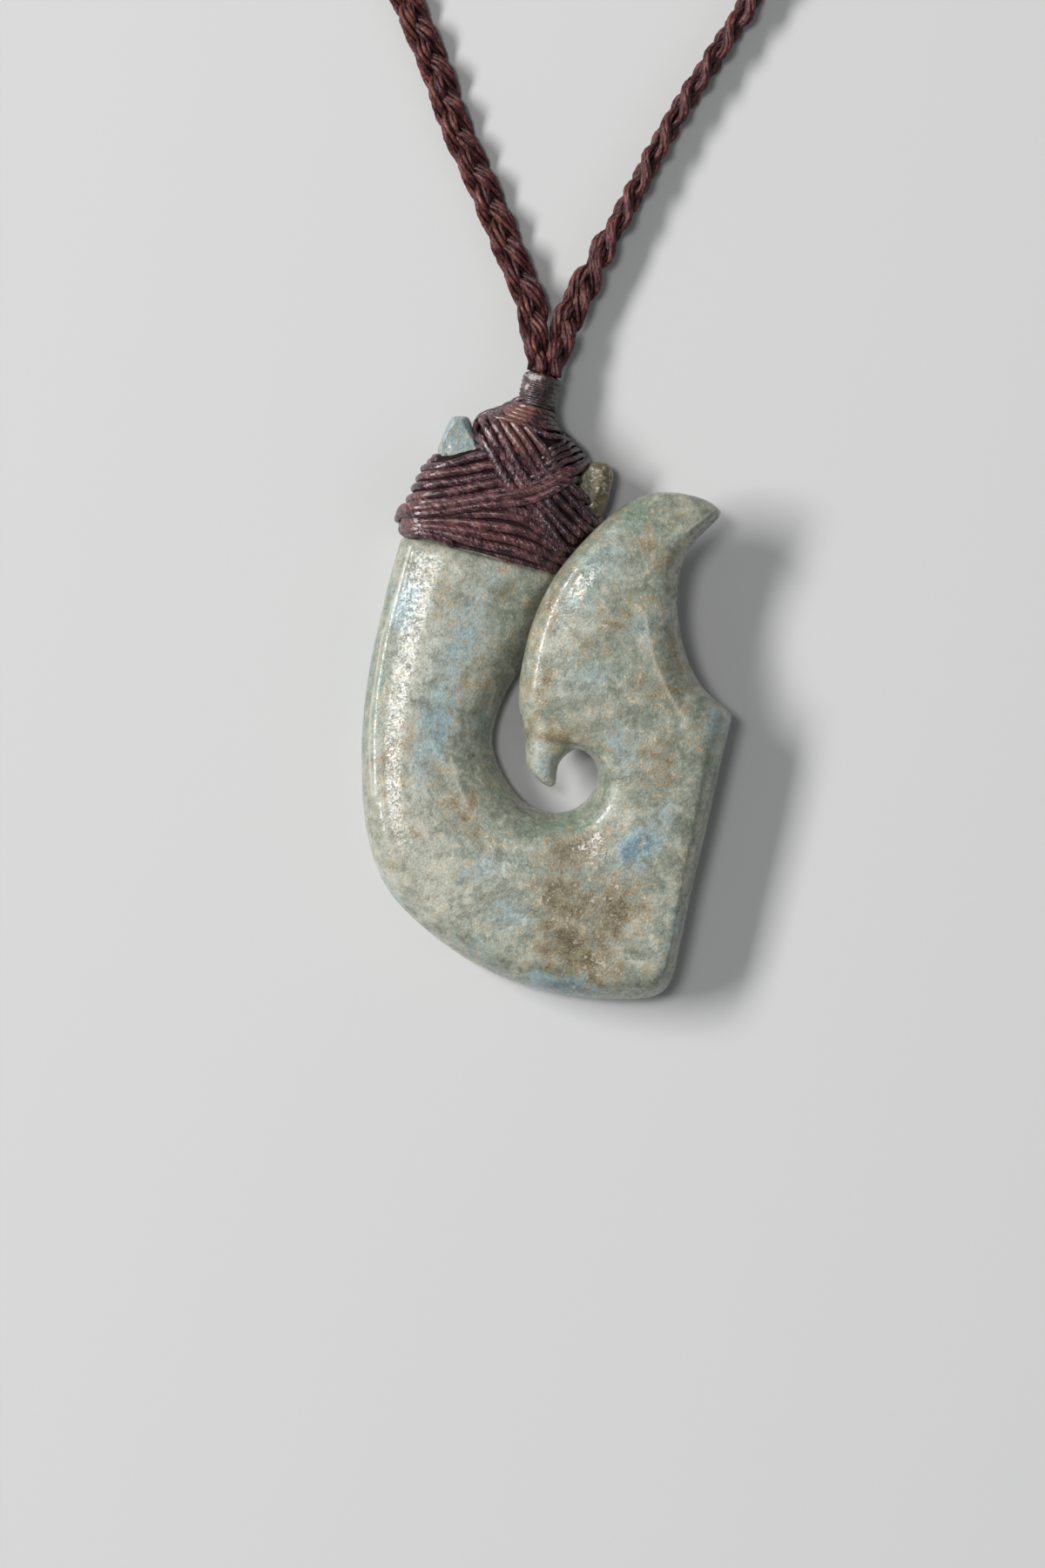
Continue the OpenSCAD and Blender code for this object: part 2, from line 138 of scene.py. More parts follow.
# %% A socket that can be added and multiplied
class Wire:
    """The output of a shader node."""

    def __init__(self, tree, out):
        self.tree = tree
        self.out = out

    def node(self, kind, settings=None, inputs=None, output=0):
        """Adds a node: its settings first, then the values or wires of its sockets."""
        new = self.tree.nodes.new("ShaderNode" + kind)
        for name, value in (settings or {}).items():
            setattr(new, name, value)
        for socket, value in (inputs or {}).items():
            if isinstance(value, Wire):
                self.tree.links.new(value.out, new.inputs[socket])
            else:
                new.inputs[socket].default_value = value
        return Wire(self.tree, new.outputs[output])

    def math(self, operation, *values):
        return self.node("Math", {"operation": operation}, dict(enumerate(values)))

    def __add__(self, other):
        return self.math("ADD", self, other)

    def __sub__(self, other):
        return self.math("SUBTRACT", self, other)

    def __rsub__(self, other):
        return self.math("SUBTRACT", other, self)

    def __mul__(self, other):
        return self.math("MULTIPLY", self, other)

    __radd__ = __add__
    __rmul__ = __mul__

    def step(self, low, high):
        """0 below low, 1 above high, smooth between."""
        return self.node(
            "MapRange",
            {"interpolation_type": "SMOOTHSTEP"},
            {"Value": self, "From Min": low, "From Max": high},
        )

    def tint(self, factor, other):
        """This colour turned towards the other one by factor."""
        return self.node("Mix", {"data_type": "RGBA"}, {0: factor, 6: self, 7: other}, output=2)

    def scaled(self, factor):
        """This colour or vector times factor."""
        return self.node("VectorMath", {"operation": "SCALE"}, {0: self, "Scale": factor})

    def with_vector(self, operation, other):
        return self.node("VectorMath", {"operation": operation}, {0: self, 1: other})

    def grain(self, scale, detail=4.0, roughness=0.55):
        """Noise on this vector, from about -1 to 1."""
        inputs = {"Vector": self, "Scale": scale, "Detail": detail, "Roughness": roughness}
        return (self.node("TexNoise", None, inputs) - 0.5) * 4


def new_finish(name, roughness, coat=0.0, coat_roughness=0.1):
    """A material with its shader's plain values, and a wire to start from."""
    material = bpy.data.materials.new(name)
    material.use_nodes = True
    shader = material.node_tree.nodes["Principled BSDF"]
    shader.inputs["Roughness"].default_value = roughness
    shader.inputs["Coat Weight"].default_value = coat
    shader.inputs["Coat Roughness"].default_value = coat_roughness
    return material, shader, Wire(material.node_tree, None)


def millimetres(start):
    """Object coordinates in millimetres."""
    return start.node("TexCoord", output=3).scaled(1 / MM)


def plain(start, colour):
    """A colour to begin a sum with."""
    first = start.node("RGB")
    first.out.default_value = colour
    return first


def feed(shader, socket, wire):
    wire.tree.links.new(wire.out, shader.inputs[socket])


def bump(height, depth):
    """A bump from a height wire, whose full rise is depth metres."""
    return height.node("Bump", None, {"Height": height, "Strength": 1.0, "Distance": depth})


# %% Floor finish
floor_finish, floor_shader, _ = new_finish("pale_floor", 0.9)
floor_shader.inputs["Base Color"].default_value = FLOOR_COLOUR
floor.data.materials.append(floor_finish)
print("stage ready")

# %% [markdown]
# ## The stone
#
# The hook was ground and polished from one stone. The CAD solid has its outline and thickness, but
# in small flats. Its mesh is copied, its loose triangles are merged, and a voxel remesh gives it an even
# skin that can be smoothed, as polishing does. The two ears were ground and hardly polished, so flat facets
# are cut back into them. Elsewhere polishing left only a few fine arrises, where two ground faces met. They
# are raised afterwards, by moving the points near each line.
# A thin pale line along the crest of each arris is a painted highlight.

# %% Copy a CAD mesh
def select_only(piece):
    bpy.ops.object.select_all(action="DESELECT")
    piece.select_set(True)
    bpy.context.view_layer.objects.active = piece


def new_piece(name, data):
    """Puts a mesh into the scene, and selects only that."""
    piece = bpy.data.objects.new(name, data)
    bpy.context.collection.objects.link(piece)
    select_only(piece)
    return piece


MERGE_DISTANCE = 0.001 * MM
SMOOTH_FACTOR = 0.5


def merged_copy(node_name, piece_name):
    """A CAD node's mesh as a new piece, its loose triangles merged."""
    piece = new_piece(piece_name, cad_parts[node_name].data.copy())
    piece.data.name = piece_name
    piece.data.materials.clear()
    bpy.ops.mesh.customdata_custom_splitnormals_clear()
    bpy.ops.object.mode_set(mode="EDIT")
    bpy.ops.mesh.select_all(action="SELECT")
    bpy.ops.mesh.remove_doubles(threshold=MERGE_DISTANCE)
    bpy.ops.object.mode_set(mode="OBJECT")
    return piece


def apply_modifier(piece, kind, **settings):
    select_only(piece)
    modifier = piece.modifiers.new(kind.lower(), kind)
    for name, value in settings.items():
        setattr(modifier, name, value)
    bpy.ops.object.modifier_apply(modifier=modifier.name)


def smoothed(piece, rounds):
    apply_modifier(piece, "SMOOTH", factor=SMOOTH_FACTOR, iterations=rounds)


def point_array(piece, values_name="co"):
    """The places of a mesh's points as rows, or their normals."""
    values = np.empty(len(piece.data.vertices) * 3)
    piece.data.vertices.foreach_get(values_name, values)
    return values.reshape(-1, 3)


def set_points(piece, points):
    piece.data.vertices.foreach_set("co", np.ascontiguousarray(points).ravel())
    piece.data.update()


def triangles(piece):
    return sum(len(face.vertices) - 2 for face in piece.data.polygons)


def unit(vectors):
    return vectors / np.linalg.norm(vectors, axis=1)[:, None]


# %% Polish the stone
# The points and the ears were left crisper than the rest. Columns: x, y, radius, in mm
CRISP_PLACES = [
    (-6.2, 42, 3.4),
    (7.2, 37.2, 3.2),
    (2.8, 8.4, 1),
    (18.6, 34.4, 1.8),
    (19.6, 14.8, 1.4),
]
STONE_VOXEL = 0.225 * MM
LIGHT_SMOOTHING = 2
FULL_SMOOTHING = 24
CRISP_FADE = 1.6


def crispness(points):
    """1 in the middle of the crisp places, fading to 0 a little outside them."""
    share = np.zeros(len(points))
    for x, y, radius in CRISP_PLACES:
        away = np.linalg.norm(points[:, :2] / MM - (x, y), axis=1) / radius
        share = np.maximum(share, np.clip(2 - CRISP_FADE * away, 0, 1))
    return share[:, None]


stone = merged_copy("stone_hook", "polished_hook")
apply_modifier(stone, "REMESH", mode="VOXEL", voxel_size=STONE_VOXEL)
smoothed(stone, LIGHT_SMOOTHING)
crisp_points = point_array(stone)
smoothed(stone, FULL_SMOOTHING)
share = crispness(crisp_points)
set_points(stone, crisp_points * share + point_array(stone) * (1 - share))
print("stone:", triangles(stone), "triangles")

# %% Grind the ears flat
# Each facet is a plane through a place. It leans off level towards a direction in plan, and takes off what
# stands above it, out to its reach. Columns: x, y, z in mm, lean and direction in degrees, reach in mm
EAR_FACETS = [
    (-6.3, 42.1, 4.62, 6, 290, 2.6),
    (-5.3, 42, 4.6, 42, 24, 2.6),
    (-7.35, 42.1, 4.55, 48, 158, 2.4),
    (-6.1, 43.25, 4.5, 50, 90, 1.6),
    (6.6, 37.3, 4.42, 8, 200, 2.4),
    (7.75, 37.2, 4.35, 38, -22, 2.6),
    (7.4, 38.75, 4.3, 48, 80, 1.6),
    (5.6, 36.4, 4.3, 34, 215, 1.7),
]
# Nothing is cut below this height, and nothing deeper than this, in mm
EAR_LEVEL = 2.6
DEEPEST_CUT = 0.6


def grind_flat(piece):
    points = point_array(piece) / MM
    for x, y, z, tilt, towards, reach in EAR_FACETS:
        lean, turn = math.radians(tilt), math.radians(towards)
        facing = np.array([math.sin(lean) * math.cos(turn), math.sin(lean) * math.sin(turn), math.cos(lean)])
        above = (points - (x, y, z)) @ facing
        near = np.linalg.norm(points[:, :2] - (x, y), axis=1) < reach
        taken = np.where(near & (points[:, 2] > EAR_LEVEL), np.clip(above, 0, DEEPEST_CUT), 0)
        points -= taken[:, None] * facing
    set_points(piece, points * MM)


grind_flat(stone)
print("facets ground:", len(EAR_FACETS))

# %% Raise the arrises, and paint a highlight along their crests
# Each arris is a line in plan, in mm, with its rise and half width.
ARRISES = [
    (0.16, 1.3, [(11.65, 24.55), (12.05, 21.9), (12.6, 19.6), (13.9, 16.8), (15.6, 14.2)]),
    (0.1, 1, [(15.6, 32.4), (18.2, 34.4)]),
    (0.18, 0.7, [(-10.7, 31), (-11.9, 26.6), (-13.4, 21.9), (-14.4, 15), (-14.5, 11), (-14.2, 7.2)]),
    (0.1, 0.9, [(-6.9, 10.9), (-6.2, 8.4), (-5.3, 6.2)]),
    (0.08, 0.7, [(-2.6, 17.6), (-3.4, 15.1)]),
]
# Half width of the thin highlight painted along each crest, in mm
HIGHLIGHT_HALF_WIDE = 0.19


def distance_to_line(points, line):
    """Distance in plan from each point to a line of several stretches."""
    nearest = np.full(len(points), np.inf)
    for a, b in zip(line, line[1:]):
        a = np.array(a)
        run = np.array(b) - a
        share = np.clip(((points - a) @ run) / (run @ run), 0, 1)
        nearest = np.minimum(nearest, np.linalg.norm(points - a - share[:, None] * run, axis=1))
    return nearest


def raise_arrises(piece):
    """Folds the surface up to each line, and marks a thin painted highlight along its crest for the finish.
    """
    points = point_array(piece)
    normals = point_array(piece, "normal")
    on_front = np.clip(normals[:, 2] * 2, 0, 1)
    highlight_share = np.zeros(len(points))
    for rise, half_wide, line in ARRISES:
        away = distance_to_line(points[:, :2] / MM, line)
        fold = np.clip(1 - away / half_wide, 0, 1)
        points += normals * (rise * MM * on_front * fold)[:, None]
        highlight_share = np.maximum(highlight_share, np.clip(1 - away / HIGHLIGHT_HALF_WIDE, 0, 1) * on_front)
    set_points(piece, points)
    crest = piece.data.attributes.new("crest_highlight", "FLOAT", "POINT")
    crest.data.foreach_set("value", highlight_share)


raise_arrises(stone)
select_only(stone)
bpy.ops.object.shade_smooth()
print("arrises raised:", len(ARRISES))

# %% [markdown]
# The stone's colour has three scales. Broad clouds of cream and sage drift over the whole hook. Blue
# smudges, green patches and brown stains lie where the real stone has them. Everywhere there is a mottle of
# one or two millimetres and a speckle of a few tenths, with warm pits and pale crystals in it. The patches
# are ovals that fade from their middles. They are looked up on coordinates bent by noise, and the mottle is
# added before their edge is taken, so that the stain creeps in specks, as it does in the real stone. The
# gloss varies with the same speckle, so the highlights break up into grains.

# %% Patches of the stone
# Columns: x, y of the middle, half length, half width, all in mm, turn in degrees, strength
CREAM_PATCHES = [
    (-8.6, -1.8, 8, 5, -42, 1.1),
    (-11, 6, 9, 5, 88, 1),
    (-10, 20, 12, 3.6, 78, 1),
    (-6, 29, 7, 4, 0, 0.8),
    (-3.4, -7.6, 7, 3, -30, 0.6),
    (10.6, -8.6, 5, 3, 0, 0.5),
    (4, 22, 7, 2.6, 70, 0.55),
    (-5.4, 21, 7, 3.4, 76, 1.3),
    (2.2, 10, 3.8, 3, 70, 2.8),
    (9.6, 6.6, 4, 2.4, 60, 0.7),
    (-6.3, 42.2, 4.4, 3.6, 0, 1.7),
]
BLUE_PATCHES = [
    (11, 2, 3.8, 2.4, 50, 2.3),
    (13.4, 5, 3.6, 2.2, 55, 0.65),
    (-11.3, 25.6, 4, 1.9, 75, 1.35),
    (4.2, -11.1, 5.4, 2.2, -8, 2.2),
    (-12.4, -2, 5, 1.8, -48, 0.7),
    (-8.4, 13.5, 9, 2.6, 77, 0.95),
    (-5.6, 22.5, 8, 3.6, 72, 0.8),
    (-4, 14, 3.6, 1.8, 80, 0.6),
    (-4.2, 0, 4, 2.6, 30, 0.65),
    (-1.6, -4, 3.4, 2.2, -20, 0.7),
    (-4.6, -7, 5.5, 2.2, -35, 0.5),
    (19, 14.4, 4, 2.4, 80, 0.75),
    (7.4, 29.4, 5.4, 3.4, 60, 0.5),
    (5, 25.6, 4, 3, 60, 0.5),
    (10.9, 23.4, 2.6, 1.6, 60, 0.65),
    (6.6, 18.6, 5, 3, 20, 0.5),
    (9.4, 12, 4.4, 2.6, -60, 0.65),
    (2, 10, 3.2, 2.4, 70, 0.6),
    (14.4, -6.4, 5, 2.2, 78, 0.6),
    (-6.3, 42.2, 5, 4, 0, 1.25),
    (-2.8, 28.8, 2.6, 2, 0, 0.5),
]
GREEN_PATCHES = [
    (11, 34, 5, 2.8, -12, 1.35),
    (6.6, 29, 6.4, 3.6, 60, 0.75),
    (7.2, 37.2, 4, 3.4, 60, 1.3),
    (3.4, 4.6, 7, 1.9, 5, 0.85),
    (7.8, 7.6, 3.6, 2.2, 60, 0.6),
    (-4, -7.6, 7, 2.8, -35, 0.55),
    (-13.9, 20, 12, 1.9, 82, 0.95),
    (0.9, 12, 2.2, 1.6, 70, 0.6),
    (17.6, 10, 9, 2, 80, 0.6),
    (-3, 8, 5, 1.8, -55, 0.55),
    (-1.8, 24, 9, 1.6, 78, 0.5),
    (9, -9.6, 8, 1.6, -8, 0.4),
]
BROWN_PATCHES = [
    (5.2, 2, 5, 2.8, 15, 1.75),
    (3.8, -2.6, 5.8, 4.4, -60, 1.45),
    (5.2, -7, 6.6, 4.6, -40, 1.55),
    (8.8, -3.4, 6.6, 3.8, 75, 1.35),
    (2.8, 25.2, 6, 1.9, 66, 1),
    (5, 31.2, 5, 1.9, 48, 0.7),
    (1.8, 18.4, 6, 2.2, 88, 0.8),
    (4.6, 13.2, 4, 1.9, -10, 0.95),
    (1.2, 13.4, 2.4, 1.6, 90, 0.7),
    (12.4, 30.4, 3.2, 2.4, -30, 0.85),
    (13.4, 17.6, 5, 2.8, -60, 0.9),
    (14.6, 21.6, 6, 1.8, 82, 0.65),
    (12.8, 10.2, 6, 3.4, 60, 0.75),
    (-7, 26.4, 3, 2, 70, 0.6),
    (-1.6, 27.6, 3.6, 1.6, 80, 0.6),
    (-4.4, 18.4, 3.4, 2, 80, 0.55),
    (9, 23.4, 5, 2.6, 50, 0.6),
    (-12.6, 10.4, 8, 2.6, 85, 0.75),
    (-11.6, 3.6, 4.6, 2.6, 85, 0.6),
    (-5.4, 5.6, 6, 2.4, -60, 0.75),
    (15.4, 33.6, 3, 1.4, -30, 0.5),
    (7.2, 37, 5.4, 4, 60, 1.8),
]
PATCH_TABLES = (CREAM_PATCHES, BLUE_PATCHES, GREEN_PATCHES, BROWN_PATCHES)
# The ovals are this tall, so that they go right through the stone
RIGHT_THROUGH = 1000


def patch_mask(bent, patches):
    """One mask, 1 or so in the middle of the strongest ovals of a table and 0 outside them all."""
    mask = None
    for x, y, half_long, half_wide, turn, strength in patches:
        oval = bent.node(
            "Mapping",
            {"vector_type": "TEXTURE"},
            {
                "Vector": bent,
                "Location": (x, y, 0),
                "Rotation": (0, 0, math.radians(turn)),
                "Scale": (half_long, half_wide, RIGHT_THROUGH),
            },
        )
        part = oval.node("TexGradient", {"gradient_type": "SPHERICAL"}, {"Vector": oval}, output=1) * strength
        mask = part if mask is None else mask.math("MAXIMUM", mask, part)
    return mask


# %% Stone finish
SAGE = (0.24, 0.265, 0.212, 1)
CREAM = (0.43, 0.43, 0.352, 1)
PALE = (0.6, 0.56, 0.465, 1)
BLUE = (0.285, 0.395, 0.415, 1)
DEEP_BLUE = (0.105, 0.19, 0.24, 1)
SEA_GREEN = (0.14, 0.205, 0.15, 1)
TAN = (0.262, 0.2, 0.1, 1)
OLIVE = (0.085, 0.062, 0.024, 1)
STONE_GRAIN = 0.03 * MM


def bent_by_noise(place, scale, reach):
    """Coordinates that wander by up to half of reach, in mm."""
    wander = place.node("TexNoise", None, {"Vector": place, "Scale": scale, "Detail": 2.0}, output=1)
    shift = wander.with_vector("SUBTRACT", (0.5, 0.5, 0.5)).scaled(reach)
    return place.with_vector("ADD", shift)


def stone_finish():
    """Polished stone: clouds, then the patches, then grains, then a painted highlight along the arrises."""
    material, shader, start = new_finish("mottled_stone", 0.3, coat=0.35, coat_roughness=0.15)
    place = millimetres(start)
    bent = bent_by_noise(place, scale=0.35, reach=3.5)
    cream, blue, green, brown = [patch_mask(bent, table) for table in PATCH_TABLES]

    clouds = place.grain(0.2, detail=3)
    mottle = bent.grain(0.62, detail=3, roughness=0.5)
    speckle = place.grain(2.0, detail=3, roughness=0.6)
    fine = place.grain(4.4, detail=3, roughness=0.65)

    body = cream * 0.7 + clouds * 0.35 + mottle * 0.45 + speckle * 0.15
    colour = plain(start, SAGE).tint(body.step(-0.45, 0.85), CREAM)
    colour = colour.tint((green + mottle * 0.2).step(0.05, 0.9) * 0.8, SEA_GREEN)
    colour = colour.tint((blue + mottle * 0.2).step(0.05, 0.9) * 0.85, BLUE)
    colour = colour.tint((blue + mottle * 0.3 + speckle * 0.15).step(0.85, 1.55) * 0.9, DEEP_BLUE)
    cells = place.grain(1.0, detail=2)
    stain = brown * 0.9 + clouds * 0.15 + mottle * 0.45 + cells * 0.6 + speckle * 0.45
    colour = colour.tint(stain.step(0.1, 0.8) * 0.8, TAN)
    colour = colour.tint(stain.step(0.55, 1.3) * 0.8, OLIVE)
    pits = (speckle * -0.8 + mottle * -0.5 + fine * -0.4).step(0.1, 1.0)
    colour = colour.tint(pits * 0.34, TAN)
    grains = (speckle * 0.7 + mottle * 0.4 + fine * 0.2).step(0.0, 0.95)
    colour = colour.tint(grains * (0.22 + stain.step(0.2, 1.0) * 0.38), PALE)
    sparkle = (speckle * 0.55 + fine * 0.7).step(-0.55, 1.1)
    colour = colour.scaled(0.82 + mottle * 0.24 + sparkle * 0.52)
    # A painted highlight along the crest of each arris
    crest = start.node("Attribute", {"attribute_name": "crest_highlight"}, output=2)
    colour = colour.tint(crest * 0.65, PALE)

    feed(shader, "Base Color", colour)
    feed(shader, "Roughness", 0.3 + speckle * 0.08)
    feed(shader, "Coat Weight", (0.42 + speckle * 0.4 + fine * 0.6).step(0.0, 1.0) * 0.8)
    feed(shader, "Normal", bump(fine * 0.5 + speckle * 0.5, STONE_GRAIN))
    return material


stone.data.materials.append(stone_finish())
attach(stone, "root")
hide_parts("stone_hook")
print("stone finished, patches:", sum(map(len, PATCH_TABLES)))

# %% [markdown]
# ## Sweeping a thread
#
# Every thread and yarn here is a tube along a path, dozens of times over, each with its own bends. A curve
# with a bevel would do, but its section can't lie flat on what it is wound on, and its UV map isn't to
# scale. So one class sweeps them: it takes the points of the path and the direction that faces outwards at
# each, and adds a flattened tube. Its UV map is in metres along the tube, and in turns around it.

# %% Sweep tubes into one mesh
def directions(path, closed):
    """Which way a path runs at each of its points."""
    if closed:
        return unit(np.roll(path, -1, axis=0) - np.roll(path, 1, axis=0))
    return unit(np.gradient(path, axis=0))


class Tubes:
    """Collects swept tubes and makes one mesh of them."""

    def __init__(self):
        self.points = []
        self.faces = []
        self.uvs = []
        self.tones = []
        self.depths = []
        self.count = 0

    def add(self, path, outward, half_wide, half_thick, sides, closed, tone, buried=0.0):
        """Sweeps one tube. half_wide, half_thick and buried are single values or one for each point.

        tone is the tube's own share of colour, and buried is how deep it lies in shade, both from 0 to 1.
        """
        n = len(path)
        run = directions(path, closed)
        outward = unit(outward - (outward * run).sum(axis=1)[:, None] * run)
        across = np.cross(run, outward)
        wide = np.broadcast_to(half_wide, n)[:, None, None]
        thick = np.broadcast_to(half_thick, n)[:, None, None]
        turn = np.arange(sides) * 2 * np.pi / sides
        ring = np.cos(turn)[None, :, None] * across[:, None, :] * wide
        ring = ring + np.sin(turn)[None, :, None] * outward[:, None, :] * thick
        self.points.append((path[:, None, :] + ring).reshape(-1, 3))
        self.tones.append(np.full(n * sides, tone))
        self.depths.append(np.repeat(np.broadcast_to(buried, n), sides))
        self._add_faces(path, n, sides, closed)
        self.count += n * sides

    def _add_faces(self, path, n, sides, closed):
        steps = np.linalg.norm(np.diff(path, axis=0, append=path[:1]), axis=1)
        along = np.concatenate([[0], np.cumsum(steps)])
        rings = n if closed else n - 1
        i = np.repeat(np.arange(rings), sides)
        j = np.tile(np.arange(sides), rings)
        after = (i + 1) % n
        beside = (j + 1) % sides
        corners = [i * sides + j, i * sides + beside, after * sides + beside, after * sides + j]
        self.faces.append(np.stack(corners, axis=1) + self.count)
        around = np.stack([j, j + 1, j + 1, j], axis=1) / sides
        length = np.stack([along[i], along[i], along[i + 1], along[i + 1]], axis=1)
        self.uvs.append(np.stack([length, around], axis=2).reshape(-1, 2))
        if not closed:
            self._cap(n, sides)

    def _cap(self, n, sides):
        """Closes each end with one many-sided face."""
        for first, order in ((0, 1), ((n - 1) * sides, -1)):
            ring = [self.count + first + j for j in range(sides)][::-order]
            self.faces.append(ring)
            self.uvs.append(np.zeros((sides, 2)))

    def mesh(self, name):
        faces = []
        for group in self.faces:
            faces.extend(group.tolist() if isinstance(group, np.ndarray) else [group])
        data = bpy.data.meshes.new(name)
        data.from_pydata(np.concatenate(self.points).tolist(), [], faces)
        layer = data.uv_layers.new(name="along_and_around")
        layer.data.foreach_set("uv", np.concatenate(self.uvs).ravel())
        for layer_name, values in (("tone", self.tones), ("buried", self.depths)):
            layer = data.attributes.new(layer_name, "FLOAT", "POINT")
            layer.data.foreach_set("value", np.concatenate(values).astype(np.float32))
        piece = new_piece(name, data)
        bpy.ops.object.shade_smooth()
        return piece


def smooth_curve(rows, steps, closed=False):
    """Points on the smooth curve through rows, with steps points from each row to the next."""
    rows = np.asarray(rows, float)
    n = len(rows)
    t = (np.arange(steps) / steps)[:, None]
    stretches = []
    for i in range(n if closed else n - 1):
        near = np.arange(i - 1, i + 3)
        before, here, after, later = rows[near % n if closed else near.clip(0, n - 1)]
        stretches.append(
            0.5 * (
                2 * here + (after - before) * t
                + (2 * before - 5 * here + 4 * after - later) * t * t
                + (3 * here - before - 3 * after + later) * t * t * t
            )
        )
    if not closed:
        stretches.append(rows[-1:])
    return np.concatenate(stretches)


def even_steps(rows, spacing, closed=False):
    """Rows, whose first three columns are a place, at even distances along their line."""
    if closed:
        rows = np.vstack([rows, rows[:1]])
    lengths = np.linalg.norm(np.diff(rows[:, :3], axis=0), axis=1)
    along = np.concatenate([[0], np.cumsum(lengths)])
    count = max(4, round(along[-1] / spacing))
    wanted = np.linspace(0, along[-1], count + 1)
    if closed:
        wanted = wanted[:-1]
    return np.stack([np.interp(wanted, along, rows[:, c]) for c in range(rows.shape[1])], axis=1)


# %% [markdown]
# ## The lashing
#
# Waxed thread is wound round the head of the hook, below and between its two ears, and up to the neck.
# First comes a core: the CAD form, smoothed and shrunk a little, for the dark between the turns. Then each
# turn is one closed loop. Its front is given by a few points in plan, and its way over the edges and across
# the back is straight. The loop is laid just outside the core, pulled onto the nearest place of its surface,
# and smoothed, as a thread under tension lies. Turns wound later lie higher. Each thread wavers and swells a
# little, so that dark gaps open and close between them. The short arcs at the right of the dome come up
# from under the other turns and go round the edge, so they are open at both ends.

# %% The core of the lashing
CORE_VOXEL = 0.25 * MM
CORE_SHRINK = 0.3 * MM
CORE_SMOOTHING = 16
# The core is painted near black, as painted shade between the turns
CORE_COLOUR = (0.016, 0.006, 0.007, 1)

core = merged_copy("head_lashing", "lashing_core")
apply_modifier(core, "REMESH", mode="VOXEL", voxel_size=CORE_VOXEL)
smoothed(core, CORE_SMOOTHING)
set_points(core, point_array(core) - point_array(core, "normal") * CORE_SHRINK)
core_tree = BVHTree.FromPolygons(
    [v.co.copy() for v in core.data.vertices], [tuple(p.vertices) for p in core.data.polygons]
)
print("core:", triangles(core), "triangles")

# %% The turns of the lashing
# Each turn is a list of plan points across the front in mm, from its left edge to its right edge.
TURNS = {
    "band": [
        [(-8.7, 39.6), (-6.4, 40.05), (-3.8, 40.6), (0.2, 39.8), (3.6, 38.3), (5.2, 37.4)],
        [(-9.1, 38.8), (-6.4, 39.1), (-3.5, 39.8), (1, 38.7), (5.5, 37)],
        [(-9.6, 37.9), (-6.4, 38.2), (-2.8, 38.8), (1.2, 37.9), (5.9, 36.4)],
        [(-10.1, 36.9), (-6.4, 37.2), (-2.1, 37.9), (1.5, 37), (6.3, 35.8)],
        [(-10.6, 35.9), (-6.4, 36.3), (-1.5, 37.1), (1.8, 36.2), (6.8, 35)],
        [(-11, 35.1), (-6.4, 35.5), (-1.1, 36.3), (2.4, 35.4), (7.2, 34.3)],
    ],
    "fan": [
        [
            (-11.1, 34), (-8.6, 34.1), (-6.4, 34.5), (-2.6, 34.8),
            (0.3, 34.3), (1.9, 33.2), (3.2, 31.6), (3.9, 30.9),
        ],
        [(-11.2, 33.7), (-8.6, 33.8), (-6.4, 34), (-2.6, 34.1), (0.5, 33.4), (2.3, 32), (3.6, 30.9)],
        [(-11.3, 33.4), (-8.6, 33.4), (-6.2, 33.4), (-3.7, 33.1), (-0.2, 32.5), (2.4, 31.3), (3.3, 30.3)],
        [(-11.4, 33.1), (-8.6, 32.9), (-6.2, 32.6), (-3.7, 32.1), (-0.5, 31.4), (2.8, 30.1), (3.4, 29.8)],
        [(-11.5, 32.8), (-8.6, 32.4), (-6.2, 31.9), (-3.7, 31.2), (-0.9, 30.5), (2.7, 29.3)],
        [(-11.5, 32.5), (-8.6, 31.9), (-6.2, 31.2), (-3.7, 30.4), (-0.9, 29.6), (2.4, 28.6)],
    ],
    "diagonal": [
        [
            (-4.6, 42.8), (-3.8, 40.9), (-2.55, 38.9), (-1.3, 37),
            (-0.5, 36), (1, 34.9), (2.3, 33.4), (3.7, 31.2),
        ],
        [(-3.8, 43.1), (-2.8, 41), (-1.6, 39.1), (-0.1, 37), (1, 35.8), (2.5, 34.4), (4.5, 31.9)],
        [(-2.8, 43.4), (-1.9, 41.2), (-0.8, 39.2), (0.7, 37), (1.9, 35.9), (3.3, 34.3), (5.1, 32.6)],
        [(-2.1, 43.6), (-1, 41.6), (0.1, 39.8), (1.3, 38), (2.6, 36.6), (4.2, 34.7), (5.9, 33.1)],
        [(-1.3, 43.8), (-0.1, 41.8), (0.9, 40.2), (2, 38.5), (3.6, 36.8), (5.1, 35.1), (6.7, 33.4)],
        [(-0.4, 43.8), (0.9, 42), (2, 40.3), (3.2, 38.7), (4.4, 37.2), (6, 35.6), (7.3, 33.9)],
    ],
    "rising": [
        [
            (-11.3, 34.6), (-8.6, 34.7), (-6.4, 35.1), (-3.7, 35.6),
            (-0.2, 36.1), (2.6, 36.9), (4.8, 38.2), (5.4, 38.8),
        ],
        [
            (-11.4, 34.1), (-8.6, 34.2), (-6, 34.5), (-2.8, 35),
            (0.6, 35.4), (2.8, 36.2), (5, 37.5), (5.3, 37.9),
        ],
    ],
    "collar": [
        [(-4.2, 42.9), (-2.2, 43.3), (0.6, 42.6), (3, 41.4), (4.9, 40.6)],
        [(-3.7, 43.5), (-1.9, 43.7), (0.6, 43.1), (3, 42), (4.7, 41.4)],
        [(-2.8, 43.9), (-1.2, 43.9), (0.8, 43.4), (2.9, 42.6), (4.4, 42.1)],
        [(-1.9, 44.2), (-0.6, 44.2), (1, 43.8), (2.7, 43.1), (3.9, 42.7)],
        [(-1.2, 44.6), (0, 44.5), (1.2, 44.2), (2.6, 43.7), (3.4, 43.4)],
        [(-0.8, 45), (0.3, 44.9), (1.4, 44.6), (2.5, 44.2), (3.1, 43.9)],
    ],
}
